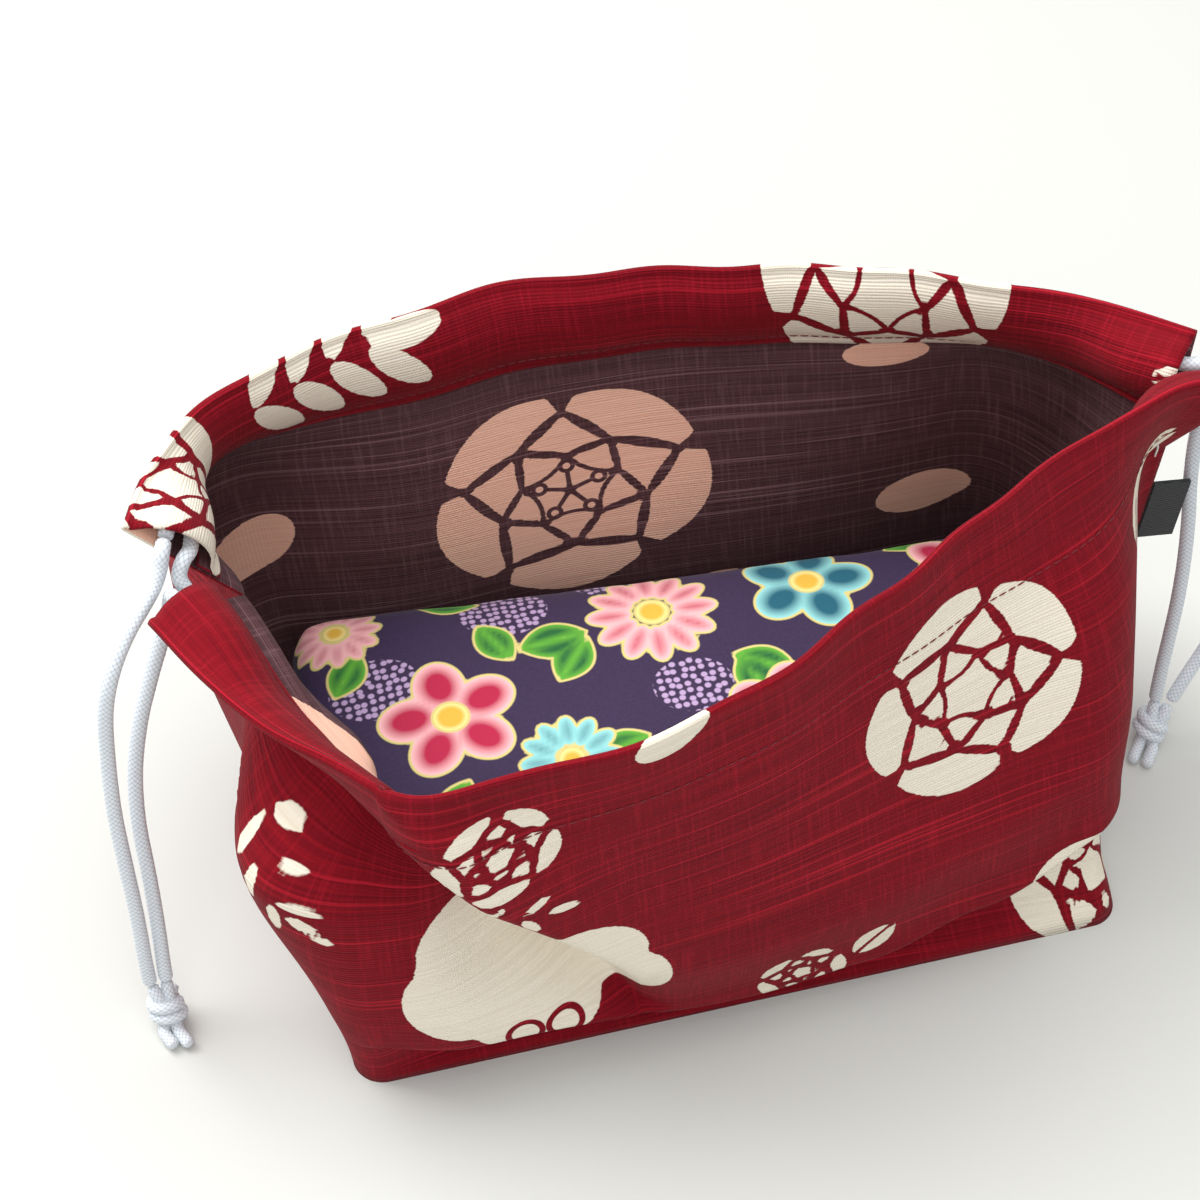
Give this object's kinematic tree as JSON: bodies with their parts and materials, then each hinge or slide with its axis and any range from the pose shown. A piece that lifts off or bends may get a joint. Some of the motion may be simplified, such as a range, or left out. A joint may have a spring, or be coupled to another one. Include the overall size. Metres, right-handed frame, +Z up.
{
  "type": "drawstring pouch",
  "caption": "Open fabric pouch with a flat base, folded casings at the mouth, drawstring cords knotted at each side and a folded cloth bundle inside.",
  "frame": {"origin": "centre of the flat base, on the surface it stands on", "axes": "+X along the bag from the left side seam to the right one, +Y towards the back, +Z up"},
  "size_m": [0.3016, 0.1463, 0.1438],
  "materials": {
    "bag_cloth": "yarn-dyed slub cotton with a printed flower design, red outside and dark brown inside",
    "folded_bundle": "printed cotton cloth, folded, dark purple ground",
    "side_tab": "woven ribbon, black, plain",
    "cord": "braided cotton cord, pale grey"
  },
  "bodies": {
    "root": {"bag_cloth": "bag_cloth", "folded_bundle": "folded_bundle", "side_tab": "side_tab", "left_cord_run": "cord", "right_cord_run": "cord", "left_back_strand": "cord", "left_front_strand": "cord", "left_knot": "cord", "right_back_strand": "cord", "right_front_strand": "cord", "right_knot": "cord"}
  },
  "joints": []
}
